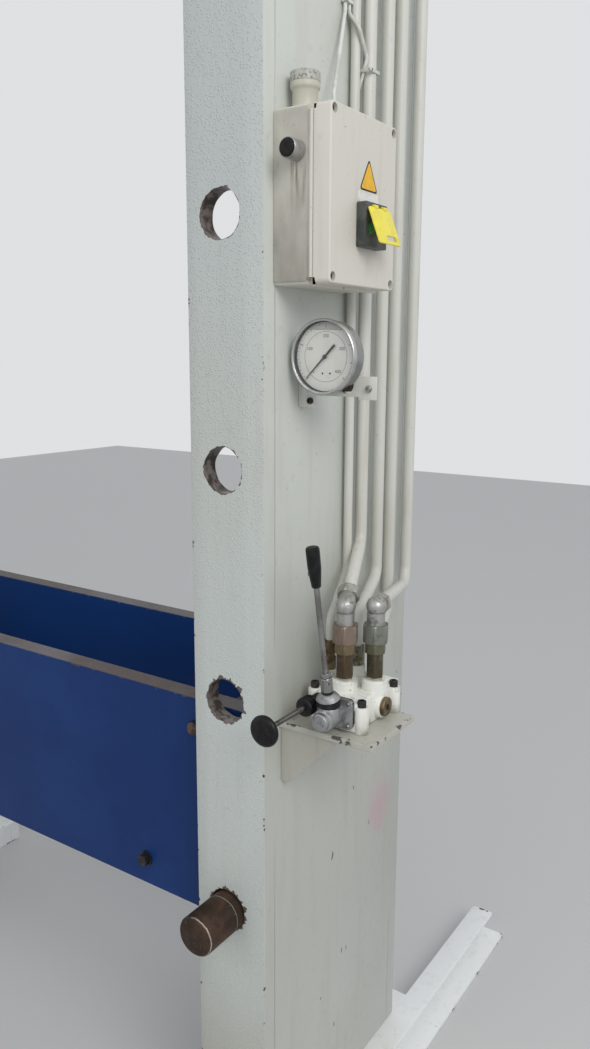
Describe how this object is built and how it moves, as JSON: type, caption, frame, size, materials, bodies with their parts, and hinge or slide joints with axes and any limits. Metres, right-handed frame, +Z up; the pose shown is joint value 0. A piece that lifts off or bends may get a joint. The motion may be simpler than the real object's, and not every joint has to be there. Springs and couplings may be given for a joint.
{
  "type": "hydraulic press",
  "caption": "Workshop hydraulic press with C-section columns, a pinned height-adjustable bed, a vertical ram and side-mounted valve, gauge and switch box.",
  "frame": {"origin": "on the floor, under the middle of the space that the whole press takes up, 44 mm from the middle of the two columns toward the one that carries the valve and the switch box", "axes": "+Z up, -Y toward the operator at the front, +X toward the column that carries the valve and the switch box"},
  "size_m": [1.732, 1.388, 3.0929],
  "materials": {
    "frame_white": "grey-green white enamel, chipped edges",
    "box_cream": "cream enamel",
    "bed_blue": "royal blue enamel, bare upper edge",
    "bare_steel": "machined",
    "rusty_steel": "brown, lightly rusted steel",
    "chrome": "polished",
    "zinc": "zinc plated",
    "brass": "dull",
    "black_plastic": "matt",
    "grey_plastic": "matt",
    "yellow_plastic": "gloss",
    "green_plastic": "gloss",
    "red_plastic": "gloss",
    "cast_aluminium": "cast",
    "dial_white": "matt white",
    "glass": "clear",
    "cable_white": "matt",
    "tank_grey": "grey enamel",
    "motor_blue": "dark blue enamel"
  },
  "bodies": {
    "frame": {"button_bezel": "cable_white", "cable_gland": "cable_white", "cable_tie": "cable_white", "conduit_socket": "box_cream", "control_box": "box_cream", "control_lid": "box_cream", "crown_deck": "frame_white", "crown_front_plate": "frame_white", "crown_rear_plate": "frame_white", "cylinder": "frame_white", "cylinder_cradle": "frame_white", "cylinder_gland": "bare_steel", "gauge_bracket": "box_cream", "gauge_case": "zinc", "gauge_dial": "dial_white", "gauge_glass": "glass", "gauge_pipe": "frame_white", "inner_fitting": "brass", "left_column": "frame_white", "left_elbow": "zinc", "left_foot": "frame_white", "lever_housing": "cast_aluminium", "limit_cable": "cable_white", "lower_port_pipe": "frame_white", "motor": "motor_blue", "motor_cable": "cable_white", "oil_tank": "tank_grey", "pipe_clamp": "bare_steel", "pipe_tie": "cable_white", "pressure_pipe": "frame_white", "pump": "cast_aluminium", "relief_sleeve": "black_plastic", "return_pipe": "frame_white", "right_column": "frame_white", "right_elbow": "zinc", "right_foot": "frame_white", "switch_housing": "grey_plastic", "upper_port_pipe": "frame_white", "valve_body": "box_cream", "valve_bracket": "box_cream"},
    "ram_group": {"ram": "chrome", "ram_nose": "bare_steel"},
    "bed_group": {"bed_front_plate": "bed_blue", "bed_rear_plate": "bed_blue", "bed_tie_left": "rusty_steel", "bed_tie_right": "rusty_steel", "lifting_bar_left": "rusty_steel", "lifting_bar_right": "rusty_steel"},
    "right_pin": {"pin_right": "rusty_steel"},
    "left_pin": {"pin_left": "rusty_steel"},
    "side_button": {"push_button": "black_plastic"},
    "green_button": {"start_button": "green_plastic"},
    "red_button": {"stop_button": "red_plastic"},
    "flap": {"switch_flap": "yellow_plastic"},
    "needle": {"gauge_needle": "black_plastic"},
    "lever_group": {"valve_lever": "chrome", "lever_grip": "black_plastic"},
    "knob": {"relief_knob": "black_plastic"},
    "cap": {"filler_cap": "black_plastic"}
  },
  "joints": [
    {"name": "ram_slide", "type": "slide", "parent": "frame", "child": "ram_group", "axis": [0, 0, -1], "range_m": [0, 0.4]},
    {"name": "bed_slide", "type": "slide", "parent": "frame", "child": "bed_group", "axis": [0, 0, 1], "range_m": [0, 0.373]},
    {"name": "right_pin_slide", "type": "slide", "parent": "frame", "child": "right_pin", "axis": [0, -1, 0], "range_m": [0, 0.52]},
    {"name": "left_pin_slide", "type": "slide", "parent": "frame", "child": "left_pin", "axis": [0, -1, 0], "range_m": [0, 0.52]},
    {"name": "push_button_slide", "type": "slide", "parent": "frame", "child": "side_button", "axis": [0, 1, 0], "range_m": [0, 0.004], "stiffness_N_per_m": 1000, "springref_m": -0.002},
    {"name": "start_button_slide", "type": "slide", "parent": "frame", "child": "green_button", "axis": [-1, 0, 0], "range_m": [0, 0.002], "stiffness_N_per_m": 1000, "springref_m": -0.001},
    {"name": "stop_button_slide", "type": "slide", "parent": "frame", "child": "red_button", "axis": [-1, 0, 0], "range_m": [0, 0.002], "stiffness_N_per_m": 1000, "springref_m": -0.001},
    {"name": "flap_hinge", "type": "hinge", "parent": "frame", "child": "flap", "pos_m": [0.8115, -0.112, 1.68], "axis": [0, -1, 0], "range_deg": [-20, 85]},
    {"name": "needle_hinge", "type": "hinge", "parent": "frame", "child": "needle", "pos_m": [0.759, -0.167, 1.471], "axis": [0, 1, 0], "range_deg": [0, 270], "stiffness_Nm_per_rad": 0.002, "springref_deg": -28.65},
    {"name": "lever_hinge", "type": "hinge", "parent": "frame", "child": "lever_group", "pos_m": [0.793, -0.204, 0.953], "axis": [1, 0, 0], "range_deg": [-12, 12], "stiffness_Nm_per_rad": 8},
    {"name": "knob_hinge", "type": "hinge", "parent": "frame", "child": "knob", "pos_m": [0.756, -0.327, 0.941], "axis": [0, 1, 0], "range_deg": [-720, 720]},
    {"name": "cap_slide", "type": "slide", "parent": "frame", "child": "cap", "axis": [0, 0, 1], "range_m": [0, 0.05]}
  ]
}
